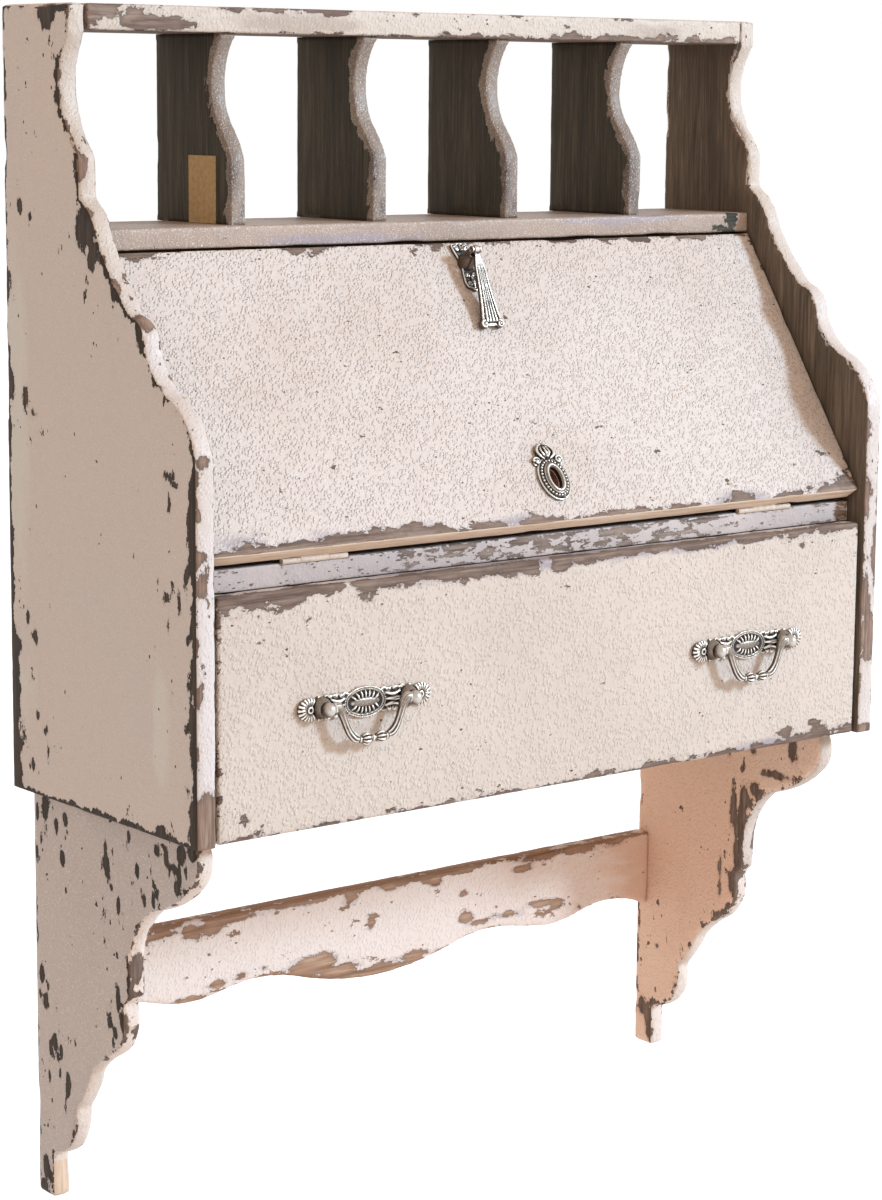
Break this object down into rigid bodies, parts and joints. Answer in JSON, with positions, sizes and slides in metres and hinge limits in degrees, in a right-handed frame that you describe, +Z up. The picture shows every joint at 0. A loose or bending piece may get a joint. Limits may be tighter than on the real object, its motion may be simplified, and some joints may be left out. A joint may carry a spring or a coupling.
{
  "type": "fold down wall desk",
  "caption": "Wall-hung writing desk with a sloping fold down flap, a drawer below it, an open divided gallery above, and scrolled side panels and brackets joined by a scalloped rail.",
  "frame": {"origin": "on the wall plane, midway between the two wall screw holes", "axes": "+X to the viewer's right along the front, +Y into the wall, +Z up"},
  "size_m": [0.74, 0.29, 0.997],
  "materials": {
    "painted_pine": "chipped cream paint over dark wood",
    "bare_pine": "dark stained, weathered",
    "dowel_beech": "plain",
    "aged_pewter": "aged cast pewter",
    "painted_steel": "painted over with the boards",
    "steel": "dull",
    "blank_paper": "plain tan card"
  },
  "bodies": {
    "case": {"side_left": "painted_pine", "side_right": "painted_pine", "top_board": "painted_pine", "gallery_shelf": "painted_pine", "divider_1": "painted_pine", "divider_2": "painted_pine", "divider_3": "painted_pine", "divider_4": "painted_pine", "desk_floor": "painted_pine", "bottom_board": "painted_pine", "back_panel": "bare_pine", "hanging_rail": "bare_pine", "flap_stop_batten": "bare_pine", "drawer_runner_left": "bare_pine", "drawer_runner_right": "bare_pine", "drawer_stop_button": "bare_pine", "drawer_stop_screw": "steel", "bracket_left": "painted_pine", "bracket_right": "painted_pine", "scalloped_rail": "painted_pine", "case_dowels": "dowel_beech", "bracket_dowels": "dowel_beech", "divider_brads": "steel", "back_panel_brads": "steel", "hinge_left_fixed_leaf": "painted_steel", "hinge_right_fixed_leaf": "painted_steel", "hinge_left_pin": "painted_steel", "hinge_right_pin": "painted_steel", "hinge_fixed_screws": "steel", "paper_tag": "blank_paper"},
    "flap": {"flap_panel": "painted_pine", "hinge_left_flap_leaf": "painted_steel", "hinge_right_flap_leaf": "painted_steel", "hinge_flap_screws": "steel", "escutcheon": "aged_pewter", "escutcheon_pins": "steel", "pendant_plate": "aged_pewter", "pendant_plate_pins": "steel", "pendant_pivot_pin": "steel"},
    "pendant": {"pendant_pull": "aged_pewter"},
    "drawer": {"drawer_front": "painted_pine", "drawer_side_left": "bare_pine", "drawer_side_right": "bare_pine", "drawer_back": "bare_pine", "drawer_bottom": "bare_pine", "drawer_dowels": "dowel_beech", "drawer_brads": "steel", "pull_plate_left": "aged_pewter", "pull_plate_right": "aged_pewter", "pull_screws": "steel"},
    "bail_left": {"bail_left": "aged_pewter"},
    "bail_right": {"bail_right": "aged_pewter"}
  },
  "joints": [
    {"name": "flap_hinge", "type": "hinge", "parent": "case", "child": "flap", "pos_m": [0, -0.254, -0.2048], "axis": [1, 0, 0], "range_deg": [0, 123.8]},
    {"name": "drawer_slide", "type": "slide", "parent": "case", "child": "drawer", "axis": [0, -1, 0], "range_m": [0, 0.135]},
    {"name": "pendant_swing", "type": "hinge", "parent": "flap", "child": "pendant", "pos_m": [0.002, -0.14662, 0.02421], "axis": [-1, 0, 0], "range_deg": [0, 100]},
    {"name": "bail_left_swing", "type": "hinge", "parent": "drawer", "child": "bail_left", "pos_m": [-0.21, -0.284, -0.32], "axis": [-1, 0, 0], "range_deg": [-12, 100]},
    {"name": "bail_right_swing", "type": "hinge", "parent": "drawer", "child": "bail_right", "pos_m": [0.21, -0.284, -0.32], "axis": [-1, 0, 0], "range_deg": [-12, 100]}
  ]
}
